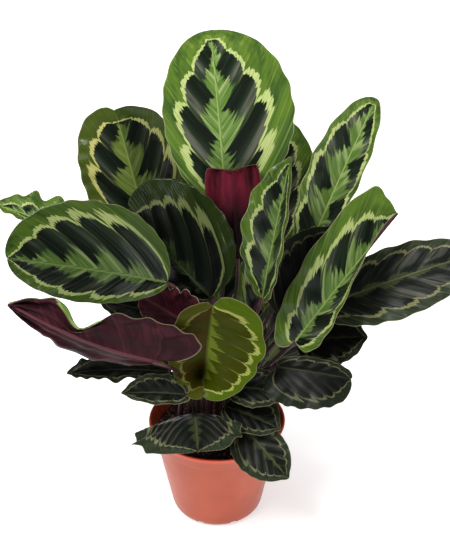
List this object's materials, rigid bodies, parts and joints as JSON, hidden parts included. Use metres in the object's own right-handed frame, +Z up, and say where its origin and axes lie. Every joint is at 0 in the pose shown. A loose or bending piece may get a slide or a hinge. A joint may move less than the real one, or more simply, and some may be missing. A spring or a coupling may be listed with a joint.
{
  "type": "potted calathea",
  "caption": "House plant with broad patterned leaves on slender stalks, standing in soil in a round tapered plastic nursery pot; it decorates a room.",
  "frame": {"origin": "centre of the pot's flat underside, where it stands", "axes": "+Z up along the pot's axis, -Y to the plant's front, the side the picture shows, +X to its right in that view"},
  "size_m": [0.5578, 0.3306, 0.6014],
  "materials": {
    "pot": "satin terracotta-coloured moulded plastic",
    "soil": "matt crumbly peat and bark potting mix",
    "leaf": "satin leaf, dark and pale green pattern above, burgundy below",
    "old_leaf": "satin older leaf, near black with a grey-green ring, burgundy below",
    "young_leaf": "glossy young leaf, yellow-green",
    "stalk": "smooth satin burgundy stalk"
  },
  "bodies": {
    "root": {"leaf_back": "leaf", "leaf_back_left": "leaf", "leaf_back_right": "leaf", "leaf_behind_top": "leaf", "leaf_centre": "leaf", "leaf_crimson": "leaf", "leaf_far_left": "leaf", "leaf_far_right": "old_leaf", "leaf_front": "old_leaf", "leaf_inner": "old_leaf", "leaf_left": "leaf", "leaf_low_back_left": "old_leaf", "leaf_low_back_right": "old_leaf", "leaf_low_left": "old_leaf", "leaf_low_right": "old_leaf", "leaf_lowest_right": "old_leaf", "leaf_narrow": "leaf", "leaf_over_rim": "old_leaf", "leaf_right": "leaf", "leaf_rim_right": "old_leaf", "leaf_small_left": "old_leaf", "leaf_top": "leaf", "leaf_tucked": "old_leaf", "leaf_turned": "leaf", "leaf_under_turned": "old_leaf", "leaf_upper_left": "leaf", "leaf_upper_right": "leaf", "leaf_wavy": "leaf", "leaf_young": "young_leaf", "pot": "pot", "soil": "soil", "stalk_back": "stalk", "stalk_back_left": "stalk", "stalk_back_right": "stalk", "stalk_behind_top": "stalk", "stalk_centre": "stalk", "stalk_crimson": "stalk", "stalk_far_left": "stalk", "stalk_far_right": "stalk", "stalk_front": "stalk", "stalk_inner": "stalk", "stalk_left": "stalk", "stalk_low_back_left": "stalk", "stalk_low_back_right": "stalk", "stalk_low_left": "stalk", "stalk_low_right": "stalk", "stalk_lowest_right": "stalk", "stalk_narrow": "stalk", "stalk_over_rim": "stalk", "stalk_right": "stalk", "stalk_rim_right": "stalk", "stalk_small_left": "stalk", "stalk_top": "stalk", "stalk_tucked": "stalk", "stalk_turned": "stalk", "stalk_under_turned": "stalk", "stalk_upper_left": "stalk", "stalk_upper_right": "stalk", "stalk_wavy": "stalk", "stalk_young": "stalk"}
  },
  "joints": []
}
